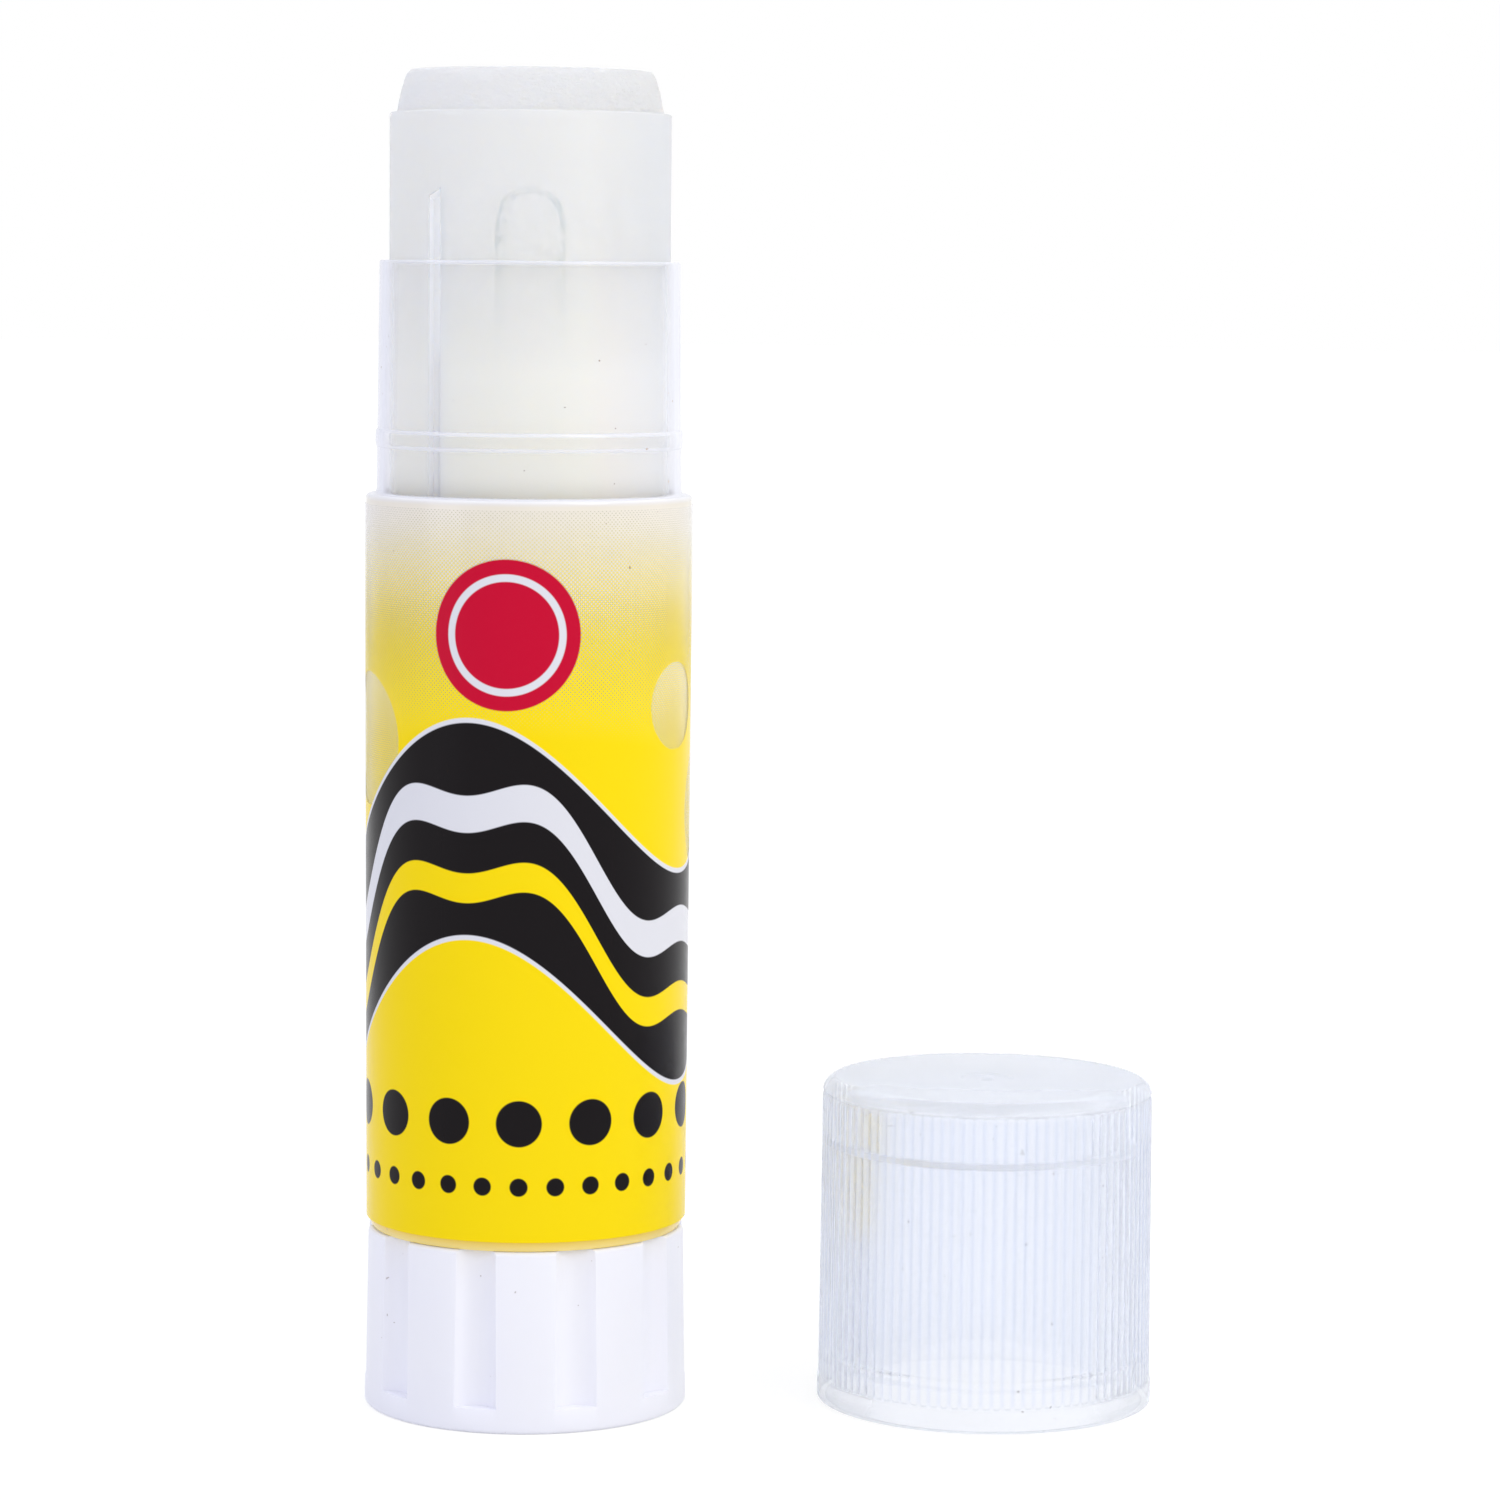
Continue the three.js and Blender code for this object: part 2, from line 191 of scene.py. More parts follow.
def ramp(value, low, high):
    """0 where a value is at low, 1 where it is at high, and evenly between."""
    settings = {"Value": value, "From Min": low, "From Max": high}
    return add_node(value.id_data, "ShaderNodeMapRange", settings, clamp=True).outputs[0]


def edge_on(tree):
    """0 where the surface faces the eye, and 1 where it is seen edge on."""
    return add_node(tree, "ShaderNodeLayerWeight", {"Blend": 0.5}).outputs["Facing"]


def new_material(name):
    """A material with its tree and its Principled shader."""
    material = bpy.data.materials.new(name)
    material.use_nodes = True
    tree = material.node_tree
    return material, tree, tree.nodes["Principled BSDF"]


def object_place(tree):
    """The place of a point on the piece, in metres from the origin."""
    return tree.nodes.new("ShaderNodeTexCoord").outputs["Object"]


def grain(place, size, detail, roughness=0.5):
    """Soft noise whose blotches are about the given size across."""
    inputs = {"Vector": place, "Scale": 1 / size, "Detail": detail, "Roughness": roughness}
    return add_node(place.id_data, "ShaderNodeTexNoise", inputs).outputs[0]


def bump(height, distance, strength):
    """Small relief from a height between 0 and 1."""
    inputs = {"Height": height, "Distance": distance, "Strength": strength}
    return add_node(height.id_data, "ShaderNodeBump", inputs).outputs[0]


# %% [markdown]
# The studio is a white tent: its walls light the object evenly from all round, a little more from
# the right and from above, and bluer from the left. The backdrop shows white to the camera and
# through clear plastic, while the light that falls on the object stays at a plain level. Gloss sees
# a bright ceiling, which puts thin lights on every edge that faces up, and a back wall that is a
# little brighter than the front one.

# %% Studio: world
def rays(tree, *kinds):
    """1 for rays of the kinds that are named, and 0 for all others."""
    path = tree.nodes.new("ShaderNodeLightPath")
    return largest(*[path.outputs[f"Is {kind} Ray"] for kind in kinds])


def choose(share, first, second):
    """A shader between two others."""
    inputs = {0: share, 1: first, 2: second}
    return add_node(share.id_data, "ShaderNodeMixShader", inputs).outputs[0]


def background(tree, colour, strength):
    inputs = {"Color": colour, "Strength": strength}
    return add_node(tree, "ShaderNodeBackground", inputs).outputs[0]


def make_world():
    world = bpy.data.worlds.new("studio")
    world.use_nodes = True
    bpy.context.scene.world = world
    tree = world.node_tree
    tree.nodes.clear()
    x, y, z = parts_of(tree.nodes.new("ShaderNodeTexCoord").outputs["Generated"])
    from_right, from_above, level = 0.1, 0.18, 0.86
    fill_level = calc("MULTIPLY_ADD", x, from_right, level)
    fill_level = calc("MULTIPLY_ADD", calc("MAXIMUM", z, 0), from_above, fill_level)
    left_tint, right_tint = (0.8, 0.83, 1.0, 1), (0.99, 0.99, 1.0, 1)
    fill_tint = mix_colours(ramp(x, -1, 0.3), left_tint, right_tint)
    fill = background(tree, fill_tint, fill_level)
    back_wall = times(ramp(y, -0.5, 0.35), 0.08)
    ceiling = times(ramp(z, 0.35, 0.6), 0.5)
    gloss_level = calc("ADD", largest(back_wall, ceiling), 0.92)
    gloss = background(tree, (0.97, 0.98, 1.0, 1), gloss_level)
    backdrop = background(tree, (1, 1, 1, 1), 1.0)
    light = choose(rays(tree, "Glossy"), fill, gloss)
    light = choose(rays(tree, "Camera", "Transmission"), light, backdrop)
    add_node(tree, "ShaderNodeOutputWorld", {"Surface": light})


make_world()
bpy.context.scene.view_settings.view_transform = "Standard"
print("white tent,", len(bpy.context.scene.world.node_tree.nodes), "nodes")

# %% [markdown]
# The floor is a plain pale sheet. Like the backdrop it shows white where it is seen, through clear
# plastic and in gloss too, and it still takes the soft shadow of the object.

# %% Studio: floor
floor_radius = 6


def floor_paint():
    """White where it is seen, and pale for the light that falls on it."""
    material, tree, shader = new_material("pale_floor")
    pale = {"Base Color": (0.8, 0.8, 0.8, 1), "Roughness": 0.9, "Specular IOR Level": 0.0}
    give(shader, pale)
    shade = add_node(tree, "ShaderNodeBsdfDiffuse", {"Color": (0.3, 0.3, 0.3, 1)})
    glow = add_node(tree, "ShaderNodeEmission", {"Color": (1, 1, 1, 1), "Strength": 0.76})
    white = add_node(tree, "ShaderNodeAddShader", {0: shade.outputs[0], 1: glow.outputs[0]})
    seen = rays(tree, "Camera", "Transmission", "Glossy")
    paint = choose(seen, shader.outputs[0], white.outputs[0])
    put(tree.nodes["Material Output"].inputs["Surface"], paint)
    return material


bpy.ops.object.select_all(action="DESELECT")
bpy.ops.mesh.primitive_circle_add(vertices=64, radius=floor_radius, fill_type="NGON")
floor = bpy.context.object
floor.name = "floor"
floor.data.materials.append(floor_paint())

# %% [markdown]
# One large softbox stands to the right of the camera, where the photograph is brightest, with a
# weaker and slightly blue one on the left. Both are big beside the object, so shadows stay soft.

# %% Studio: lamps
softbox_size = (0.3, 0.5)
lit_spot = Vector((10, 0, 50)) * MM


def softbox(name, place, watts, colour):
    lamp = bpy.data.lights.new(name, "AREA")
    lamp.shape = "RECTANGLE"
    lamp.size, lamp.size_y = softbox_size
    lamp.energy = watts
    lamp.color = colour
    holder = bpy.data.objects.new(name, lamp)
    bpy.context.scene.collection.objects.link(holder)
    holder.location = place
    holder.rotation_euler = (lit_spot - Vector(place)).to_track_quat("-Z", "Y").to_euler()
    print(name, "softbox,", watts, "W")


softbox("key", (0.42, -0.36, 0.42), 0.82, (1.0, 1.0, 1.0))
softbox("fill", (-0.5, -0.3, 0.25), 0.3, (0.86, 0.88, 1.0))

# %% [markdown]
# Almost everything here was turned round one axis, so the main tool is a lathe. The outline of half
# a section is drawn in the plane y = 0 by extruding one point from place to place, and then it is
# spun round the axis. The doubled points are merged and the faces turned outwards.

# %% Lathe helpers
def only(piece):
    """Make a piece the only selected object and the active one."""
    bpy.ops.object.select_all(action="DESELECT")
    piece.select_set(True)
    bpy.context.view_layer.objects.active = piece


def apply_place(piece):
    """Put a new piece's place, turn and scale into its mesh."""
    only(piece)
    bpy.ops.object.transform_apply(location=True, rotation=True, scale=True)


def mode(name):
    """Go into edit mode, or back to object mode."""
    bpy.ops.object.mode_set(mode=name)


def pick(action):
    """Select all points in edit mode, or none."""
    bpy.ops.mesh.select_all(action=action)


def spin_round(steps, angle, **more):
    """Spin what is selected round the Z axis."""
    bpy.ops.mesh.spin(steps=steps, angle=angle, center=(0, 0, 0), axis=(0, 0, 1), **more)


def arc(centre, radius, from_deg, to_deg, steps):
    """Points of an arc about a centre (r, z), with 0 degrees outwards and 90 upwards."""
    points = []
    for i in range(steps + 1):
        angle = math.radians(from_deg + (to_deg - from_deg) * i / steps)
        points.append((centre[0] + radius * math.cos(angle), centre[1] + radius * math.sin(angle)))
    return points


def draw_outline(name, points):
    """A chain of edges through points (r, z), left open in edit mode."""
    bpy.ops.object.select_all(action="DESELECT")
    bpy.ops.mesh.primitive_plane_add(size=MM, location=(points[0][0], 0, points[0][1]))
    piece = bpy.context.object
    piece.name = name
    piece.data.name = name
    apply_place(piece)
    mode("EDIT")
    pick("SELECT")
    bpy.ops.mesh.merge(type="CENTER")
    for (r, z), (next_r, next_z) in zip(points, points[1:]):
        step = (next_r - r, 0, next_z - z)
        bpy.ops.mesh.extrude_region_move(TRANSFORM_OT_translate={"value": step})
    return piece


def close_up():
    """Merge doubled points and turn all faces outwards, in edit mode."""
    pick("SELECT")
    bpy.ops.mesh.remove_doubles(threshold=0.0005 * MM)
    bpy.ops.mesh.normals_make_consistent(inside=False)


def turned(name, points, sides):
    """A solid turned round the Z axis from its outline."""
    piece = draw_outline(name, points)
    pick("SELECT")
    spin_round(sides, math.tau)
    close_up()
    mode("OBJECT")
    return piece


def change(piece, kind, **settings):
    """Change a piece for good with one modifier."""
    only(piece)
    modifier = piece.modifiers.new("change", kind)
    for key, value in settings.items():
        setattr(modifier, key, value)
    bpy.ops.object.modifier_apply(modifier=modifier.name)


def shape_with(piece, tool, operation):
    """Cut a piece with a tool, or join the tool to it, and throw the tool away."""
    change(piece, "BOOLEAN", operation=operation, solver="EXACT", object=tool)
    bpy.data.objects.remove(tool)


def soften_edges(piece, width, segments, angle):
    """Round the edges of a piece that are sharper than an angle."""
    sharp = {"limit_method": "ANGLE", "angle_limit": math.radians(angle)}
    change(piece, "BEVEL", width=width, segments=segments, **sharp)


def finish_piece(piece, body, node, material):
    """Smooth shading, the finish, the body that it rides on and the solid that it stands for."""
    only(piece)
    bpy.ops.object.shade_smooth_by_angle(angle=math.radians(30))
    piece.data.materials.clear()
    piece.data.materials.append(material)
    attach(piece, body)
    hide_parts(node)
    report(piece)


def report(piece):
    """Print a piece's triangles, its size in mm, and how many edges are open."""
    mesh = piece.data
    mesh.calc_loop_triangles()
    uses = {}
    for face in mesh.polygons:
        for key in face.edge_keys:
            uses[key] = uses.get(key, 0) + 1
    open_edges = sum(1 for count in uses.values() if count != 2)
    size = [round(v / MM, 2) for v in piece.dimensions]
    print(piece.name, len(mesh.loop_triangles), "triangles,", size, "mm, open edges", open_edges)


def bars(name, inner, outer, width, foot_z, top_z, slope, lean=0):
    """Two upright bars on opposite sides of the axis. Their upper ends slope down inwards by one
    amount, and down to the left by another."""
    made = []
    for turn in (0, 180):
        middle = (0, -(inner + outer) / 2, (foot_z + top_z) / 2)
        bpy.ops.object.select_all(action="DESELECT")
        bpy.ops.mesh.primitive_cube_add(size=1, location=middle)
        bar = bpy.context.object
        bar.scale = (width, outer - inner, top_z - foot_z)
        apply_place(bar)
        for axis, drop in ((1, slope), (0, -lean)):
            mode("EDIT")
            pick("DESELECT")
            mode("OBJECT")
            for vertex in bar.data.vertices:
                past = (vertex.co[axis] - middle[axis]) * (1 if drop > 0 else -1)
                vertex.select = vertex.co.z > middle[2] and past > 0
            mode("EDIT")
            bpy.ops.transform.translate(value=(0, 0, -abs(drop)))
            mode("OBJECT")
        bar.rotation_euler.z = math.radians(turn + rib_turn)
        apply_place(bar)
        made.append(bar)
    only(made[0])
    made[1].select_set(True)
    bpy.ops.object.join()
    made[0].name = name
    return made[0]


# %% [markdown]
# Moulded plastic is never one flat colour. Its tone drifts a little, its gloss is broken by a very
# fine skin, and tiny specks of dust sit on it. One function makes the opaque white plastic of the
# knob, the screw and the carrier, which differ only in tone and gloss.

# %% White moulded plastic
def dust(place):
    """1 in a few tiny specks, a fifth of a millimetre across or less, and 0 elsewhere."""
    return ramp(grain(place, 0.42 * MM, 0), 0.13, 0.115)


def drift(place, size):
    """A slow change from 0 to 1 over the piece, for a tone that drifts."""
    return ramp(grain(place, size, 3), 0.35, 0.65)


def white_plastic(name, colour, shade, roughness):
    material, tree, shader = new_material(name)
    place = object_place(tree)
    tone = mix_colours(drift(place, 9 * MM), (*shade, 1), (*colour, 1))
    specks = times(dust(place), 0.6)
    wear = grain(place, 2.5 * MM, 4)
    skin = grain(place, 0.12 * MM, 3)
    give(shader, {
        "Base Color": mix_colours(specks, tone, (0.4, 0.34, 0.34, 1)),
        "Roughness": calc("MULTIPLY_ADD", wear, 0.16, roughness - 0.08),
        "Normal": bump(skin, 0.004 * MM, 0.6),
        "IOR": 1.49,
        "Subsurface Weight": 0.35,
        "Subsurface Radius": (1.0, 1.0, 1.0),
        "Subsurface Scale": 0.8 * MM,
    })
    return material


knob_plastic = white_plastic("knob_plastic", (0.925, 0.925, 1.0), (0.91, 0.91, 0.995), 0.36)
screw_plastic = white_plastic("screw_plastic", (0.86, 0.87, 0.88), (0.82, 0.83, 0.85), 0.42)
carrier_plastic = white_plastic("carrier_plastic", (0.88, 0.885, 0.9), (0.85, 0.855, 0.875), 0.4)
print("white plastics for the knob, the screw and the carrier")

# %% [markdown]
# The knob is a white wheel with ten shallow flutes for the fingers, and a collar above it that
# snaps into the barrel. The flutes run out at its top edge and end in small flat crescents just
# above its foot. It is turned, and then the flutes are cut with ten round bars.

# %% Knob
knob_floor = 1.8 * MM
knob_edge = 0.35 * MM
snap_z = knob_top_z + 5.5 * MM
snap_width = 1.2 * MM
snap_proud = 0.5 * MM
socket_top_z = 9 * MM
socket_flats = 2.65 * MM
socket_radius = socket_flats / math.cos(math.pi / 6)
flute_count = 10
flute_width = 3.5 * MM
flute_depth = 1.0 * MM
flute_foot_z = 2.05 * MM
flute_turn = 20.7


def knob_outline():
    foot_r = knob_foot_radius - knob_edge
    top_r = barrel_foot_radius - knob_edge
    cavity_r = collar_radius - 1.15 * MM
    boss_r = socket_radius + 1.6 * MM
    return [
        (0, 0),
        *arc((foot_r, knob_edge), knob_edge, -90, 0, 6),
        *arc((top_r, knob_top_z - knob_edge), knob_edge, 0, 90, 6),
        (collar_radius, knob_top_z),
        (collar_radius, snap_z - snap_width),
        (collar_radius + snap_proud, snap_z - snap_width / 2),
        (collar_radius + snap_proud, snap_z + snap_width / 2),
        (collar_radius, snap_z + snap_width * 1.5),
        (collar_radius, knob_high.z),
        (cavity_r, knob_high.z),
        (cavity_r, knob_floor),
        (boss_r, knob_floor),
        (boss_r, socket_top_z),
        (0, socket_top_z),
    ]


def round_bar(sides, radius, depth, place):
    """An upright bar about a place."""
    bpy.ops.object.select_all(action="DESELECT")
    bpy.ops.mesh.primitive_cylinder_add(vertices=sides, radius=radius, depth=depth, location=place)
    apply_place(bpy.context.object)
    return bpy.context.object


def flute_bars():
    radius = (flute_width ** 2 / 4 + flute_depth ** 2) / (2 * flute_depth)
    length = knob_top_z - flute_foot_z + MM
    reach = barrel_foot_radius - flute_depth + radius
    made = []
    for i in range(flute_count):
        angle = math.radians(flute_turn + 360 / flute_count * i - 90)
        place = (reach * math.cos(angle), reach * math.sin(angle), flute_foot_z + length / 2)
        made.append(round_bar(96, radius, length, place))
    for bar in made:
        bar.select_set(True)
    bpy.ops.object.join()
    return bpy.context.object


knob = turned("knob_wheel", knob_outline(), 240)
shape_with(knob, flute_bars(), "DIFFERENCE")
socket_depth = socket_top_z - knob_floor
key_way = round_bar(6, socket_radius, 2 * socket_depth, (0, 0, socket_top_z))
shape_with(knob, key_way, "DIFFERENCE")
soften_edges(knob, 0.12 * MM, 3, 35)
finish_piece(knob, "knob", "knob", knob_plastic)

# %% [markdown]
# The screw lifts the glue. It has a plain foot pressed into the knob, a flange, and a steep thread
# that turns to the left, so that turning the knob the usual way pushes the glue up. The thread is
# one tooth outline that the Screw modifier winds up the shaft.

# %% Screw
screw_lead = 3 * MM
screw_core = 1.5 * MM
flange_z = screw_low.z + 7.2 * MM
flange_height = 1.4 * MM
flange_radius = 4.2 * MM
thread_foot_z = 27 * MM
thread_turns = 19


def screw_outline():
    edge = 0.2 * MM
    foot_radius = 2.4 * MM
    flange_top = flange_z + flange_height
    shaft_top = screw_high.z
    return [
        (0, screw_low.z),
        (foot_radius - edge, screw_low.z),
        (foot_radius, screw_low.z + edge),
        (foot_radius, flange_z),
        *arc((flange_radius - edge, flange_z + edge), edge, -90, 0, 4),
        *arc((flange_radius - edge, flange_top - edge), edge, 0, 90, 4),
        (screw_core + 2 * edge, flange_top),
        *arc((screw_core + 2 * edge, flange_top + 2 * edge), 2 * edge, -90, -180, 4)[1:],
        (screw_core, shaft_top - 1.2 * MM),
        (screw_core - 0.5 * MM, shaft_top),
        (0, shaft_top),
    ]


def wind_thread():
    root = screw_core - 0.1 * MM
    heel, crest = 0.62 * MM, 0.22 * MM
    tooth = [(root, -heel), (screw_radius, -crest), (screw_radius, crest), (root, heel)]
    points = [(r, thread_foot_z + height) for r, height in (*tooth, tooth[0])]
    thread = draw_outline("thread", points)
    pick("SELECT")
    bpy.ops.mesh.remove_doubles(threshold=0.001 * MM)
    mode("OBJECT")
    winding = {"axis": "Z", "screw_offset": screw_lead, "angle": -math.tau}
    fineness = {"iterations": thread_turns, "steps": 32, "render_steps": 32}
    change(thread, "SCREW", **winding, **fineness)
    mode("EDIT")
    pick("DESELECT")
    bpy.ops.mesh.select_mode(type="EDGE")
    bpy.ops.mesh.select_non_manifold()
    bpy.ops.mesh.fill()
    bpy.ops.mesh.select_mode(type="VERT")
    close_up()
    mode("OBJECT")
    report(thread)
    heights = [v.co.z / MM for v in thread.data.vertices]
    print("thread from", round(min(heights), 2), "to", round(max(heights), 2))
    return thread


screw = turned("lead_screw", screw_outline(), 64)
shape_with(screw, wind_thread(), "UNION")
finish_piece(screw, "knob", "screw", screw_plastic)

# %% [markdown]
# The carrier is the white cup that holds the foot of the glue. Its floor carries the nut, its skirt
# keeps it upright in the bore, and two notches let it slide along the guide ribs.

# %% Carrier
carrier_wall = 0.9 * MM
cup_radius = collar_radius - carrier_wall
cup_floor_z = carrier_high.z - 13 * MM
nut_radius = 4 * MM
nut_foot_z = cup_floor_z - 10 * MM
nut_bore = screw_radius + 0.3 * MM


def carrier_outline():
    edge = 0.25 * MM
    outer = carrier_high.x
    foot, top = carrier_low.z, carrier_high.z
    under_floor = cup_floor_z - 2 * MM
    return [
        (cup_radius, foot),
        *arc((outer - edge, foot + edge), edge, -90, 0, 4),
        *arc((outer - edge, top - edge), edge, 0, 90, 4),
        (cup_radius, top),
        *arc((cup_radius - 4 * edge, cup_floor_z + 4 * edge), 4 * edge, 0, -90, 5),
        (nut_bore + edge, cup_floor_z),
        (nut_bore, cup_floor_z - edge),
        (nut_bore, nut_foot_z),
        (nut_radius, nut_foot_z),
        *arc((nut_radius + 2 * edge, under_floor - 2 * edge), 2 * edge, 180, 90, 4),
        *arc((cup_radius - 2 * edge, under_floor - 2 * edge), 2 * edge, 90, 0, 4),
        (cup_radius, foot),
    ]


carrier = turned("carrier_cup", carrier_outline(), 160)
running_gap = 0.3 * MM
notches = bars(
    "notches",
    bore_radius - rib_depth - running_gap,
    bore_radius + MM,
    rib_width + 2 * running_gap,
    carrier_low.z - MM,
    carrier_high.z + 3 * MM,
    0,
)
shape_with(carrier, notches, "DIFFERENCE")
finish_piece(carrier, "carrier", "carrier", carrier_plastic)

# %% [markdown]
# The glue is a waxy, translucent paste that was cast round the screw and the guide ribs. So it has
# a hole up its middle and two grooves down its sides, and both show faintly through it.

# %% Sizes of the glue
glue_step_z = glue_high.z - 3.45 * MM
glue_radius = bore_radius - 0.21 * MM
tip_foot_radius = glue_radius - 0.57 * MM
tip_top_radius = tip_foot_radius - 1.17 * MM
cloudy_from, cloudy_to = 72 * MM, 100 * MM
clear_from, clear_to = 86 * MM, 97 * MM
hole_radius = 2.9 * MM
hole_top_z = screw_high.z + 14.2 * MM
groove_gap = 0.03 * MM
groove_floor = bore_radius - rib_depth - groove_gap
print("glue radius", round(glue_radius / MM, 2), "hole", round(hole_radius / MM, 2))

# %% [markdown]
# Light is scattered inside the glue, which is subsurface scattering, and in its upper part a third
# of what is seen comes straight through. The wall of the hole is a broken film painted a mottled
# dark blue green, a painted shade for the hollow seen through the paste. It shows most where it is
# seen edge on, which draws the faint arch of the hole from any side. One side of each groove gets a
# painted shade, and the other side is painted paler with a very faint painted glow, as if it caught
# light.

# %% Glue finish
def groove_marks(x, y, z):
    """Two marks: 1 inside the two grooves, and 1 on the side of each groove that gets painted
    shade.
    """
    turn = math.radians(rib_turn)
    out = calc("MULTIPLY_ADD", x, math.sin(turn), times(y, -math.cos(turn)))
    side = calc("MULTIPLY_ADD", x, math.cos(turn), times(y, math.sin(turn)))
    side = times(side, calc("SIGN", out))
    out = calc("ABSOLUTE", out)
    deep = ramp(out, glue_radius - 0.08 * MM, glue_radius - 0.16 * MM)
    far_out = ramp(out, groove_floor - 0.3 * MM, groove_floor - 0.2 * MM)
    near = ramp(calc("ABSOLUTE", side), 0.9 * MM, 0.8 * MM)
    below_tip = ramp(z, glue_step_z - 0.5 * MM, glue_step_z - MM)
    return times(deep, near, far_out, below_tip), ramp(side, 0.3 * MM, 0.5 * MM)


def hole_mark(x, y, z):
    """1 on the wall of the hole that the screw ran in."""
    round_axis = ramp(reach_of(x, y), hole_radius + 0.9 * MM, hole_radius + 0.7 * MM)
    return times(round_axis, ramp(z, hole_top_z + 0.9 * MM, hole_top_z + 0.7 * MM))


def glue_tone(place, tip, groove, painted_shade_side, hole):
    """Warm low down, pale and cloudy higher up, painted shade on the right, cool at the tip."""
    x, _, z = parts_of(place)
    upward = ramp(z, cloudy_from, cloudy_to)
    tone = mix_colours(upward, (0.96, 0.9, 0.79, 1), (0.935, 0.925, 0.885, 1))
    # Painted shade: the right side of the glue is painted greyer and bluer.
    painted_shade_right = times(ramp(x, 5 * MM, 12 * MM), 0.8)
    tone = mix_colours(painted_shade_right, tone, (0.75, 0.78, 0.83, 1))
    cloud = ramp(grain(place, 7 * MM, 3), 0.3, 0.7)
    cloud = times(cloud, calc("MULTIPLY_ADD", upward, 0.3, 0.05))
    tone = mix_colours(cloud, tone, (0.89, 0.9, 0.92, 1))
    # Painted shade: the side of each groove away from the light is painted darker and bluer, the
    # other side paler.
    groove_painted_light_and_shade = mix_colours(painted_shade_side, (1.0, 0.99, 0.97, 1), (0.8, 0.92, 0.98, 1))
    tone = mix_colours(groove, tone, groove_painted_light_and_shade)
    tone = mix_colours(tip, tone, (0.95, 0.955, 0.975, 1))
    # Painted shade: the wall of the hole is painted dark blue green, so that the hollow shows
    # through the paste.
    return mix_colours(hole, tone, (0.0, 0.27, 0.34, 1))


def glue_cover(place, edge, groove, hole):
    """The share of the light from behind that the glue holds back."""
    z = parts_of(place)[2]
    streak = ramp(grain(place, 0.9 * MM, 4, 0.65), 0.51, 0.56)
    below_top = ramp(z, hole_top_z + 0.6 * MM, hole_top_z - 1.6 * MM)
    film = calc("MULTIPLY_ADD", ramp(edge, 0.2, 0.6), 0.95, 0.03)
    film = times(film, streak, below_top)
    dense = 0.97
    cover = calc("MULTIPLY_ADD", ramp(z, clear_from, clear_to), -0.3, dense)
    return mix_values(hole, mix_values(groove, cover, dense), film)


def glue_relief(place, tip, skin):
    """Fine flat wrinkles on the tip, more to the right, and a soft skin all over."""
    flatten = {0: place, 1: (0.45, 0.45, 1)}
    flat = add_node(place.id_data, "ShaderNodeVectorMath", flatten, operation="MULTIPLY").outputs[0]
    wrinkles = grain(flat, 0.3 * MM, 4, 0.6)
    right = calc("MULTIPLY_ADD", parts_of(place)[0], 0.35 / tip_foot_radius, 0.65)
    amount = calc("MULTIPLY_ADD", times(tip, right), 0.99, 0.01)
    relief = calc("MULTIPLY_ADD", skin, 0.022, times(wrinkles, amount))
    return bump(relief, 0.4 * MM, 1.0)


def glue_paste():
    material, tree, shader = new_material("glue_paste")
    place = object_place(tree)
    x, y, z = parts_of(place)
    tip = ramp(z, glue_step_z, glue_step_z + 0.3 * MM)
    groove, painted_shade_side = groove_marks(x, y, z)
    # Painted glow: the lit side of each groove gives off a faint light of its own.
    painted_glow_side = times(groove, calc("SUBTRACT", 1, painted_shade_side))
    hole = hole_mark(x, y, z)
    skin = grain(place, 2.2 * MM, 3)
    give(shader, {
        "Base Color": glue_tone(place, tip, groove, painted_shade_side, hole),
        "Alpha": glue_cover(place, edge_on(tree), groove, hole),
        "Normal": glue_relief(place, tip, skin),
        "Roughness": calc("MULTIPLY_ADD", skin, 0.2, 0.24),
        "IOR": 1.45,
        "Subsurface Weight": 1.0,
        "Subsurface Radius": (1.0, 0.95, 0.85),
        "Subsurface Scale": 3 * MM,
        "Emission Color": (1.0, 0.99, 0.97, 1),
        "Emission Strength": times(painted_glow_side, 0.06),
    })
    return material


# %% [markdown]
# The glue's section is turned like the rest: a foot that fills the cup, the long body, a small step
# where the neck's edge stood when it was cast, and the narrower rounded tip above it.

# %% Glue
def steps_between(first, last, count):
    """Points in a straight line, with the first left out."""
    line = []
    for i in range(1, count + 1):
        share = i / count
        line.append(tuple(a + (b - a) * share for a, b in zip(first, last)))
    return line


def glue_outline():
    foot_radius = cup_radius - 0.15 * MM
    rim_z = carrier_high.z + 0.15 * MM
    tip = []
    tip_height = glue_high.z - glue_step_z
    tip_rows = 22
    for i in range(tip_rows + 1):
        out = 1 - i / tip_rows
        radius = tip_top_radius + (tip_foot_radius - tip_top_radius) * out
        tip.append((radius, glue_high.z - tip_height * out ** 2))
    edge = 0.15 * MM
    return [
        (hole_radius, glue_low.z),
        (foot_radius, glue_low.z),
        (foot_radius, rim_z),
        (glue_radius, rim_z),
        *arc((glue_radius - edge, glue_step_z - edge), edge, 0, 90, 4),
        *tip,
        *steps_between(tip[-1], (0, glue_high.z), 20),
        (0, hole_top_z),
        *arc((0, hole_top_z - hole_radius), hole_radius, 90, 0, 8)[1:],
        (hole_radius, glue_low.z),
    ]


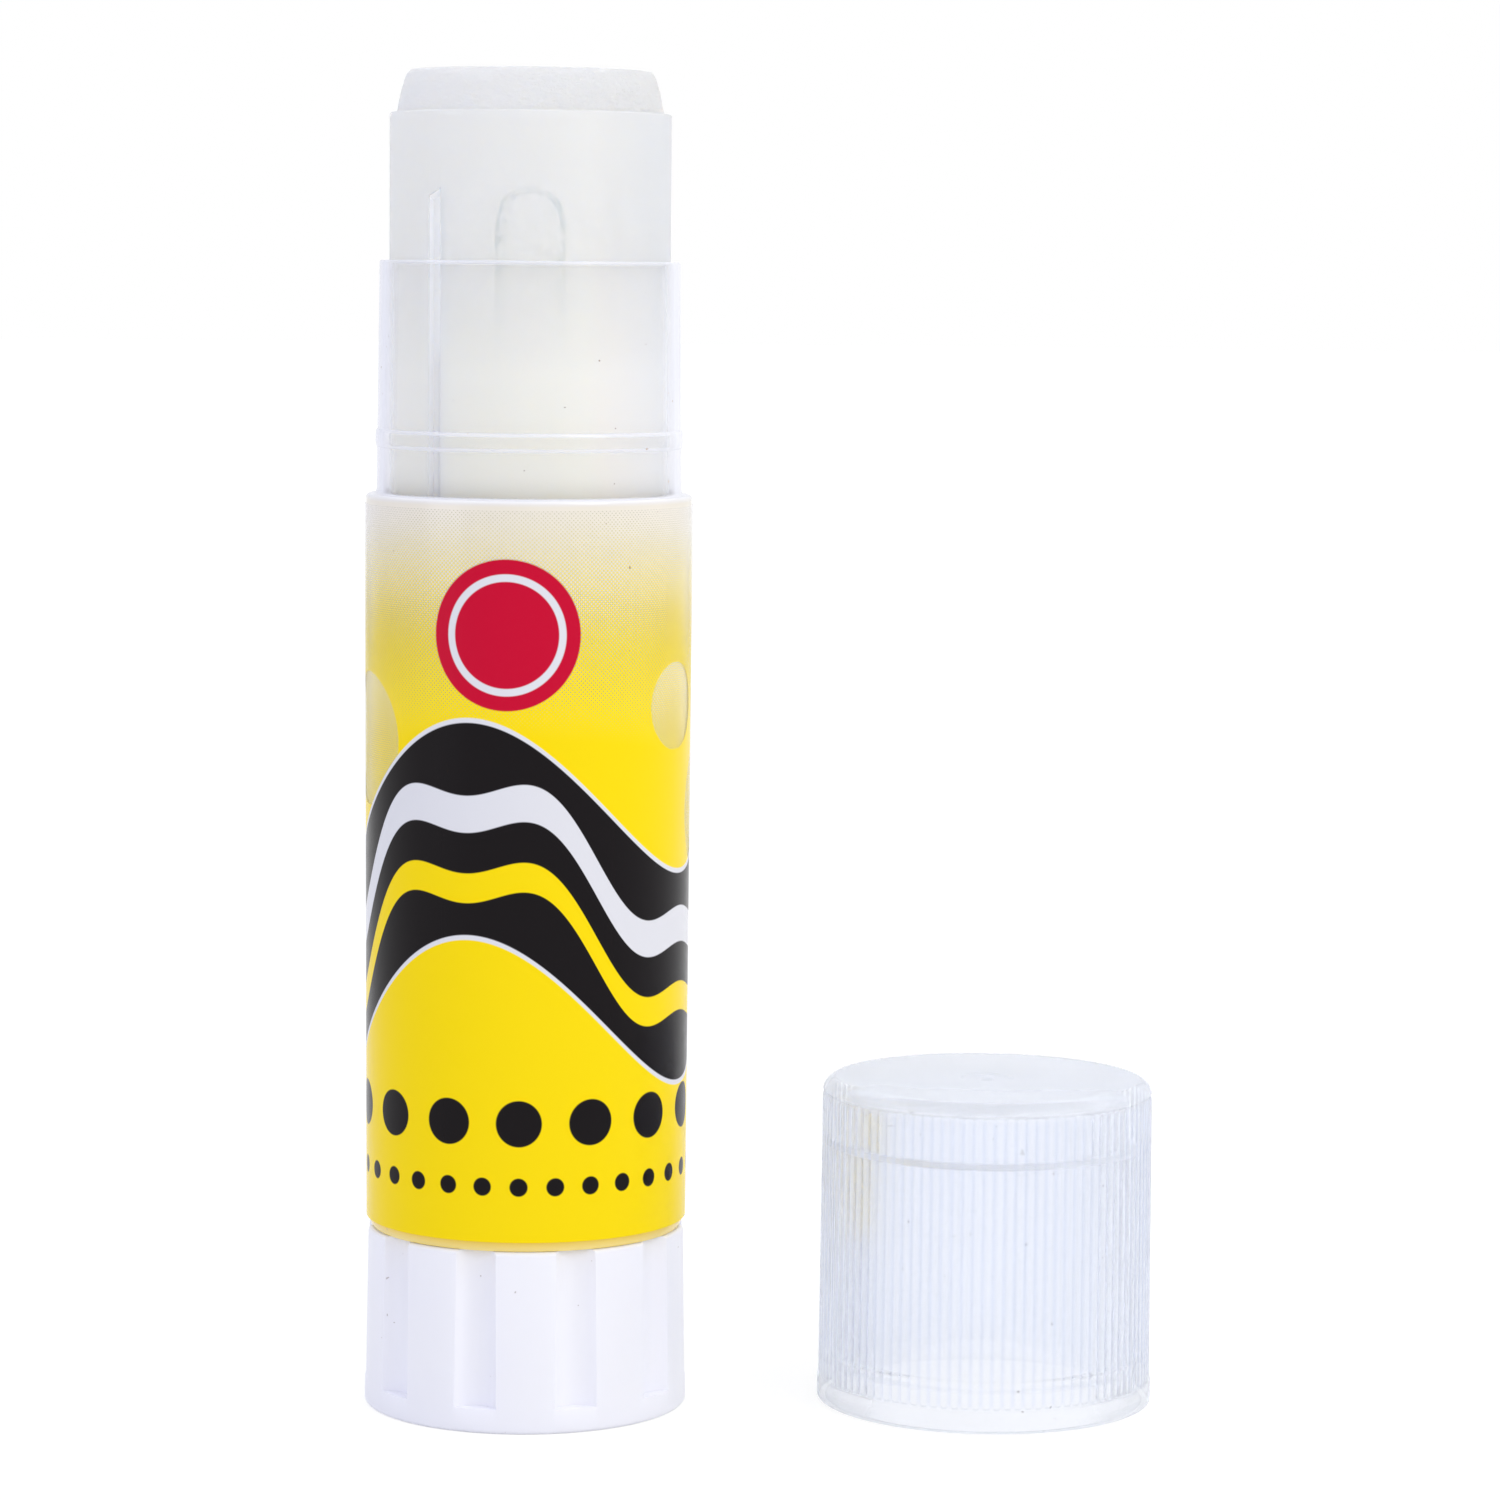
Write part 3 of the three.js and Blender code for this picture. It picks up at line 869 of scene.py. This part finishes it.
def wrinkle_tip(piece):
    """Wrinkle the skin of the tip, more to the right, where it dried against the cap."""
    group = piece.vertex_groups.new(name="tip")
    for vertex in piece.data.vertices:
        spot = vertex.co
        if spot.z > glue_step_z + 0.2 * MM:
            share = 0.6 + 0.4 * spot.x / tip_foot_radius
            top_fade = min(1.0, (glue_high.z - spot.z) / (0.6 * MM) + 0.12)
            group.add([vertex.index], share * top_fade, "REPLACE")
    texture = bpy.data.textures.new("tip_wrinkles", "CLOUDS")
    texture.noise_scale = 0.55 * MM
    texture.noise_depth = 2
    where = {"texture": texture, "texture_coords": "LOCAL", "vertex_group": group.name}
    change(piece, "DISPLACE", **where, mid_level=1.0, strength=0.16 * MM)
    piece.vertex_groups.clear()


glue_finish = glue_paste()
glue = turned("glue_bar", glue_outline(), 300)
wrinkle_tip(glue)
grooves = bars(
    "grooves",
    groove_floor,
    bore_radius + MM,
    rib_width + 2 * groove_gap,
    glue_low.z - MM,
    rib_top_z + 13.6 * MM,
    1.4 * MM,
    lean=0.6 * MM,
)
shape_with(glue, grooves, "DIFFERENCE")
finish_piece(glue, "carrier", "glue", glue_finish)

# %% [markdown]
# The barrel and its neck are one moulding in milky polypropylene. Over the glue the neck is a thin
# veil, and where its wall is seen edge on it turns a dense lavender white. Real glass-like
# transmission would darken what lies right behind it, so this is a part-transparent white, denser
# edge on. Its gloss is part-transparent too, and a high index brings it back to that of the real
# plastic. Below the shoulder the body is dense and cream, painted paler and warmer under the fading
# print as painted light. The chamfer at its foot is painted ochre, a painted glow for the light
# that the yellow print throws down onto it.

# %% Milky plastic
ring_foot_z = shoulder_z + 3.85 * MM
ring_height = 1.45 * MM
ring_proud = 0.15 * MM
seat_gap = 0.04 * MM


def barrel_tone(place, height):
    """Lavender white in the neck, cream in the body, painted warm light under the print, painted
    ochre light at the foot.
    """
    slow = drift(place, 8 * MM)
    neck = mix_colours(slow, (0.88, 0.89, 0.97, 1), (0.91, 0.915, 0.975, 1))
    cream = mix_colours(slow, (0.87, 0.81, 0.69, 1), (0.89, 0.83, 0.72, 1))
    # Painted light: under the fading print the body is painted paler and warmer.
    painted_print_light = ramp(height, 72 * MM, 65 * MM)
    cream = mix_colours(painted_print_light, cream, (1.0, 0.94, 0.76, 1))
    body = ramp(height, shoulder_z + 0.05 * MM, shoulder_z - 0.5 * MM)
    # Painted light: the chamfer at the foot is painted ochre for the yellow light that the print
    # throws down.
    down = ramp(height, label_low.z, barrel_low.z)
    painted_ochre_light = mix_colours(down, (0.95, 0.64, 0.03, 1), (1.0, 0.78, 0.22, 1))
    foot = ramp(height, label_low.z + 0.15 * MM, label_low.z)
    return mix_colours(foot, mix_colours(body, neck, cream), painted_ochre_light)


def barrel_veil(edge, height, reach, specks):
    """How dense the plastic looks: most edge on and in the body, with painted highlight lines on
    the ring's edges and the lip.
    """
    clear, line = 0.03, 0.55
    edge = calc("MULTIPLY_ADD", ramp(edge, 0.5, 0.72), 0.88, clear)
    body = times(ramp(height, shoulder_z + 0.2 * MM, shoulder_z + 0.02 * MM), 0.95)
    # Painted highlights: the two edges of the ring and the lip are made dense white, as thin lines
    # of light.
    from_ring = calc("SUBTRACT", height, ring_foot_z + ring_height / 2)
    from_ring = calc("ABSOLUTE", from_ring)
    from_edge = calc("SUBTRACT", from_ring, ring_height / 2 - 0.1 * MM)
    on_ring = ramp(calc("ABSOLUTE", from_edge), 0.22 * MM, 0.1 * MM)
    on_lip = ramp(height, neck_top_z - 0.4 * MM, neck_top_z - 0.2 * MM)
    painted_highlight_lines = times(largest(on_ring, on_lip), line)
    in_wall = ramp(reach, bore_radius + 0.08 * MM, bore_radius + 0.16 * MM)
    return times(largest(edge, body, painted_highlight_lines, specks), largest(in_wall, 0.05))


def milky_plastic():
    material, tree, shader = new_material("barrel_plastic")
    place = object_place(tree)
    x, y, height = parts_of(place)
    specks = dust(place)
    tone = barrel_tone(place, height)
    wear = grain(place, 1.8 * MM, 4)
    skin = grain(place, 0.25 * MM, 3)
    give(shader, {
        "Base Color": mix_colours(specks, tone, (0.4, 0.28, 0.2, 1)),
        "Alpha": barrel_veil(edge_on(tree), height, reach_of(x, y), specks),
        "Roughness": calc("MULTIPLY_ADD", wear, 0.12, 0.1),
        "Normal": bump(skin, 0.001 * MM, 0.5),
        "IOR": 1.8,
    })
    return material


barrel_plastic = milky_plastic()
print("snap ring from", round(ring_foot_z / MM, 2), "mm,", round(ring_height / MM, 2), "high")

# %% [markdown]
# The barrel is turned in one piece: a chamfered foot, a body that widens very slightly upwards, the
# shoulder on which the cap comes to rest, and the neck with the low ring that the cap snaps over.
# The two guide ribs inside are joined to its wall.

# %% Barrel
def along(z, foot, top):
    """A radius at a height, between two (r, z) points of a straight wall."""
    return foot[0] + (top[0] - foot[0]) * (z - foot[1]) / (top[1] - foot[1])


def neck_radius_at(z):
    return along(z, (neck_foot_radius, shoulder_z), (neck_top_radius, neck_top_z))


def barrel_outline():
    chamfer = 0.7 * MM
    lip = 0.3 * MM
    fillet = 0.4 * MM
    edge = 0.2 * MM
    groove_radius = collar_radius + snap_proud + 0.3 * MM
    foot_z = knob_top_z + seat_gap
    chamfer_z = barrel_foot_z + chamfer
    body_r = along(chamfer_z, (barrel_foot_radius, barrel_foot_z), (barrel_top_radius, shoulder_z))
    fillet_r = neck_radius_at(shoulder_z + fillet) + fillet
    ring = []
    for step in range(13):
        angle = math.pi * step / 12
        z = ring_foot_z + ring_height * (1 - math.cos(angle)) / 2
        ring.append((neck_radius_at(z) + ring_proud * math.sin(angle) ** 0.7, z))
    return [
        (barrel_foot_radius - chamfer / 2, foot_z),
        (body_r, chamfer_z),
        *arc((barrel_top_radius - lip, shoulder_z - lip), lip, 0, 90, 6),
        *arc((fillet_r, shoulder_z + fillet), fillet, 270, 180, 5),
        *ring,
        *arc((neck_top_radius - edge, neck_top_z - edge), edge, 0, 90, 5),
        *arc((bore_radius + edge, neck_top_z - edge), edge, 90, 180, 5),
        (bore_radius, snap_z + snap_width * 2),
        (groove_radius, snap_z + snap_width),
        (groove_radius, snap_z - snap_width),
        (bore_radius, snap_z - snap_width * 2),
        (bore_radius, foot_z + 0.5 * MM),
        (bore_radius + 0.25 * MM, foot_z),
        (barrel_foot_radius - chamfer / 2, foot_z),
    ]


barrel = turned("barrel_body", barrel_outline(), 180)
ribs = bars(
    "guide_ribs",
    bore_radius - rib_depth,
    bore_radius + 0.3 * MM,
    rib_width,
    knob_high.z + MM,
    rib_top_z,
    1.4 * MM,
)
shape_with(barrel, ribs, "UNION")
finish_piece(barrel, "barrel", "barrel", barrel_plastic)

# %% [markdown]
# The label is a clear film with a printed design. Near its top the yellow breaks up into halftone
# dots that get smaller and paler, so that the stick shows through. The design is a free one: a dark
# wave with a white and a yellow ribbon on it, a red disc, pale bubbles and rows of dots. All of it
# is drawn by formulas on the way round the barrel and up it, both in millimetres.

# %% Printed film: places on the film
film_round = math.tau * label_radius / MM
print_blur = 0.05


def film_place(tree):
    """The way round from the front and the way up, in millimetres."""
    x, y, z = parts_of(object_place(tree))
    turn = calc("ARCTAN2", x, times(y, -1))
    return times(turn, label_radius / MM), calc("DIVIDE", z, MM)


def inside(distance):
    """1 where a distance is below zero, with an edge as soft as printing."""
    return ramp(distance, print_blur, -print_blur)


def wave(across, waves, height, shift):
    """A wave that closes on itself round the film."""
    turn = calc("MULTIPLY_ADD", across, math.tau * waves / film_round, shift)
    return times(calc("SINE", turn), height)


def band(up, middle, half_width):
    """Distance to a band round the film: below zero inside it."""
    away = calc("ABSOLUTE", calc("SUBTRACT", up, middle))
    return calc("SUBTRACT", away, half_width)


def disc(across, up, centre, radius):
    """Distance to a disc: below zero inside it."""
    dx = calc("SUBTRACT", across, centre[0])
    dz = calc("SUBTRACT", up, centre[1])
    return calc("SUBTRACT", reach_of(dx, dz), radius)


def dot_row(across, up, height, count, radius):
    """Distance to the nearest of a row of dots that goes round the film."""
    dx = calc("PINGPONG", across, film_round / count / 2)
    return disc(dx, up, (0, height), radius)


def halftone(across, up, cover, pitch):
    """Ink laid down in dots on a screen turned by 45 degrees, to cover a share of the film."""
    turn = math.tau / pitch / math.sqrt(2)
    soft = 0.12
    sums = [calc(kind, across, up) for kind in ("ADD", "SUBTRACT")]
    waves = [calc("COSINE", times(one, turn)) for one in sums]
    level = calc("MULTIPLY_ADD", calc("ADD", *waves), 0.25, 0.5)
    full = calc("MULTIPLY_ADD", cover, 1 + 2 * soft, -soft)
    return ramp(calc("SUBTRACT", full, level), -soft, soft)


# %% Printed film: inks
yellow_ink = (1.0, 0.74, 0.0, 1)
pale_yellow_ink = (1.0, 0.89, 0.1, 1)
black_ink = (0.006, 0.004, 0.005, 1)
red_ink = (0.6, 0.0, 0.03, 1)
white_ink = (0.78, 0.78, 0.82, 1)
bare_film = (0.93, 0.93, 0.96, 1)
ink_cover = 0.996
yellow_gone, yellow_full = 77, 56
wave_up = 43
ribbons = ((2.8, 1.5), (-3.2, 1.2))
red_disc = ((-1.2, 65.2), 6.1)
bubble_spots = (((-17, 56), 5.5), ((15.5, 59), 3.6), ((24, 50), 6), ((-27, 45), 5))
dot_rows = ((25.6, 14, 1.9), (20.4, 28, 0.75))
screen_pitch = 0.25
print("design in mm: wave at", wave_up, "disc at", red_disc[0], "yellow fades above", yellow_full)


def yellow_share(across, up):
    """The share of the film that the yellow is to cover, less in the bubbles."""
    sunk = calc("SUBTRACT", up, wave(across, 2, 0.8, math.pi / 2))
    spots = [inside(disc(across, up, *spot)) for spot in bubble_spots]
    thinned = calc("MULTIPLY_ADD", largest(*spots), -0.5, 1)
    return times(ramp(sunk, yellow_gone, yellow_full), thinned)


def design(across, up):
    """The colour of the print, and 1 where there is ink."""
    share = yellow_share(across, up)
    yellow = halftone(across, up, share, screen_pitch)
    middle = calc("ADD", wave(across, 2, 6.5, 2.2), wave_up)
    ripple = wave(across, 6, 1.6, 0.4)
    dark, rim = [inside(band(up, middle, half_width)) for half_width in (8.6, 9.0)]
    white, gold = [
        inside(band(up, calc("ADD", calc("ADD", middle, away), ripple), half_width))
        for away, half_width in ribbons
    ]
    sun = disc(across, up, *red_disc)
    red = inside(sun)
    ring = calc("ABSOLUTE", calc("ADD", sun, 1.5))
    ring = inside(calc("SUBTRACT", ring, 0.3))
    dots = largest(*[inside(dot_row(across, up, *row)) for row in dot_rows])

    colour = mix_colours(share, pale_yellow_ink, yellow_ink)
    layers = (
        (rim, white_ink), (largest(dark, dots), black_ink), (white, white_ink),
        (gold, yellow_ink), (red, red_ink), (ring, white_ink),
    )
    for mark, ink_colour in layers:
        colour = mix_colours(mark, colour, ink_colour)
    ink = largest(yellow, rim, red, dots)
    return mix_colours(ink, bare_film, colour), ink


def printed_film():
    material, tree, shader = new_material("label_film")
    colour, ink = design(*film_place(tree))
    bare = calc("MULTIPLY_ADD", calc("POWER", edge_on(tree), 4), 0.4, 0.015)
    place = object_place(tree)
    creases = grain(place, 3 * MM, 3)
    wear = grain(place, 1.2 * MM, 4)
    give(shader, {
        "Base Color": colour,
        "Alpha": largest(times(ink, ink_cover), bare),
        "Normal": bump(creases, 0.01 * MM, 0.5),
        "Roughness": calc("MULTIPLY_ADD", wear, 0.14, 0.16),
        "IOR": 1.5,
        "Specular IOR Level": 0.12,
    })
    return material


# %% [markdown]
# The film itself is a very thin tube that follows the slight taper of the barrel.

# %% Label
film_gap = 0.02 * MM
film_thickness = 0.08 * MM


def label_outline():
    rows = []
    for z in (label_low.z, label_high.z):
        wall = along(z, (barrel_foot_radius, barrel_foot_z), (barrel_top_radius, shoulder_z))
        inner = wall + film_gap
        rows.append([(inner, z), (inner + film_thickness, z)])
    foot, top = rows
    return [*foot, *reversed(top), foot[0]]


label = turned("label_film", label_outline(), 180)
finish_piece(label, "barrel", "label", printed_film())

# %% [markdown]
# The cap takes the most care. A hundred fine ribs run up its side with rounded ends, and inside are
# a snap bead near the rim and a ledge near the top. One rib's share of the wall is drawn, spun by
# 3.6 degrees and swelled into a rib, and this slice is then copied round the axis and welded.

# %% Cap: outline
cap_ribs = 100
rib_columns = 8
rib_swell = 0.17 * MM
cap_band = 1.95 * MM
cap_shoulder = 1.25 * MM
cap_top_radius = cap_rim_radius - 0.25 * MM
cap_bore = neck_foot_radius + 0.18 * MM
bead_z = 3.7 * MM
ledge_z = 21.6 * MM
ceiling_z = cap_height - 1.3 * MM
shoulder_foot_z = cap_height - cap_shoulder
rib_foot_z = cap_band
rib_end_z = shoulder_foot_z
rib_round = 0.45 * MM


def cap_groove_radius(z):
    crest = along(z, (cap_rim_radius - 0.1 * MM, cap_band), (cap_top_radius, shoulder_foot_z))
    return crest - rib_swell


def rib_rows():
    """Heights of the rows of points up a rib, close together at its rounded ends."""
    ends = [rib_round * (1 - math.cos(math.pi / 2 * i / 5)) for i in range(1, 6)]
    low = [rib_foot_z + step for step in ends]
    high = [rib_end_z - step for step in reversed(ends)]
    return [*low, *high]


def cap_outline():
    edge = 0.25 * MM
    upper_bore = cap_bore - 0.9 * MM
    corner = 0.8 * MM
    bead = 0.2 * MM
    gate = 2.25 * MM
    top_r = cap_groove_radius(rib_end_z)
    return [
        (0, cap_height - 0.05 * MM),
        (0.45 * MM, cap_height - 0.06 * MM),
        (0.6 * MM, cap_height - 0.2 * MM),
        (gate - 0.2 * MM, cap_height - 0.2 * MM),
        (gate, cap_height),
        *arc((cap_top_radius - cap_shoulder, shoulder_foot_z), cap_shoulder, 90, 12, 9),
        (top_r, rib_end_z + 0.05 * MM),
        *[(cap_groove_radius(z), z) for z in reversed(rib_rows())],
        (cap_groove_radius(rib_foot_z), rib_foot_z),
        (cap_rim_radius - 0.03 * MM, cap_band - 0.1 * MM),
        (cap_rim_radius, cap_band - 0.2 * MM),
        *arc((cap_rim_radius - edge, edge), edge, 0, -90, 5),
        *arc((cap_bore + 0.35 * MM + edge, edge), edge, -90, -180, 4),
        (cap_bore + 0.02 * MM, 0.7 * MM),
        (cap_bore, 0.85 * MM),
        (cap_bore, bead_z - 0.6 * MM),
        *[
            (cap_bore - bead * math.cos(math.pi / 2 * step), bead_z + 0.55 * MM * step)
            for step in (-1, -0.75, -0.5, -0.25, 0, 0.25, 0.5, 0.75, 1)
        ],
        (cap_bore, bead_z + 0.6 * MM),
        (cap_bore, ledge_z - 0.1 * MM),
        (cap_bore - 0.05 * MM, ledge_z),
        (upper_bore + 0.05 * MM, ledge_z + 0.45 * MM),
        (upper_bore, ledge_z + 0.6 * MM),
        *arc((upper_bore - corner, ceiling_z - corner), corner, 0, 90, 6),
        (0, ceiling_z),
    ]


# %% Cap: one rib
def spin_side(mesh):
    """1 where the spin went towards +Y, and -1 where it went the other way."""
    return 1 if sum(vertex.co.y for vertex in mesh.vertices) > 0 else -1


def swell_rib(slice_of_cap):
    """Push the points of the rib outwards, most in its middle and least at its edges and ends."""
    mesh = slice_of_cap.data
    middle = math.pi / cap_ribs
    moved = 0
    for row in rib_rows():
        near_end = min(row - rib_foot_z, rib_end_z - row)
        short = max(0.0, 1 - near_end / rib_round)
        for column in range(1, rib_columns):
            turn = column / rib_columns * 2 * middle
            off = abs(turn - middle) / middle
            swell = rib_swell * math.sqrt(max(0.0, 1 - off ** 2 - short ** 2))
            if swell == 0:
                continue
            pick("DESELECT")
            mode("OBJECT")
            groove = cap_groove_radius(row)
            out = Vector((math.cos(turn), math.sin(turn) * spin_side(mesh), 0))
            spot = out * groove + Vector((0, 0, row))
            for vertex in mesh.vertices:
                vertex.select = (vertex.co - spot).length < 0.01 * MM
                moved += vertex.select
            mode("EDIT")
            bpy.ops.transform.translate(value=out * swell)
    print("points of one rib moved:", moved)


def make_cap():
    piece = draw_outline("cap_shell", cap_outline())
    share = math.tau / cap_ribs
    pick("SELECT")
    spin_round(rib_columns, share)
    pick("SELECT")
    bpy.ops.mesh.remove_doubles(threshold=0.0005 * MM)
    swell_rib(piece)
    pick("SELECT")
    spin_round(cap_ribs, math.tau, dupli=True)
    close_up()
    pick("SELECT")
    bpy.ops.transform.translate(value=(cap_centre.x, cap_centre.y, 0))
    mode("OBJECT")
    return piece


# %% [markdown]
# Nothing lies inside the cap, so it can be clear plastic that truly bends light. That shows the
# bead, the ledge and the ribs of the far wall through the near one. A little haze makes it milky,
# and its own colour is a very pale blue. The valleys between the ribs are painted a deeper blue, as
# painted shade. A sheen lights its sides, and a very faint painted glow stands for the light that
# milky plastic scatters inside.

# %% Clear plastic
def rib_valley_shade(place):
    """1 in the valleys between the ribs on the outside of the cap, 0 on their crests, for painted
    shade.
    """
    x, y, z = parts_of(place)
    x = calc("SUBTRACT", x, cap_centre.x)
    y = calc("SUBTRACT", y, cap_centre.y)
    wave_round = calc("COSINE", times(calc("ARCTAN2", y, x), cap_ribs))
    valley = calc("POWER", calc("MULTIPLY_ADD", wave_round, 0.5, 0.5), 2)
    outside = ramp(reach_of(x, y), cap_bore + 0.3 * MM, cap_bore + 0.4 * MM)
    low = ramp(z, rib_foot_z, rib_foot_z + rib_round)
    high = ramp(z, rib_end_z, rib_end_z - rib_round)
    return times(times(valley, outside), times(low, high))


def clear_plastic():
    material, tree, shader = new_material("cap_plastic")
    place = object_place(tree)
    slow = drift(place, 8 * MM)
    tone = mix_colours(slow, (0.93, 0.95, 1.0, 1), (0.945, 0.962, 1.0, 1))
    # Painted shade: the valleys between the ribs are painted a deeper blue.
    painted_valley_shade = times(rib_valley_shade(place), 0.8)
    tone = mix_colours(painted_valley_shade, tone, (0.74, 0.8, 0.98, 1))
    specks = dust(place)
    veil = calc("MULTIPLY_ADD", edge_on(tree), 0.2, 0.66)
    wear = grain(place, 1.8 * MM, 4)
    skin = grain(place, 0.3 * MM, 3)
    give(shader, {
        "Base Color": mix_colours(specks, tone, (0.4, 0.38, 0.4, 1)),
        "Alpha": largest(veil, specks),
        "Roughness": calc("MULTIPLY_ADD", wear, 0.08, 0.19),
        "Normal": bump(skin, 0.002 * MM, 0.5),
        "IOR": 1.35,
        "Transmission Weight": 0.8,
        "Sheen Weight": 0.6,
        "Sheen Roughness": 0.35,
        "Sheen Tint": (0.85, 0.9, 1.0, 1),
        # Painted glow: the cap gives off a very faint blue light of its own.
        "Emission Color": (0.55, 0.68, 1.0, 1),
        "Emission Strength": 0.02,
    })
    return material


cap = make_cap()
finish_piece(cap, "cap", "cap", clear_plastic())
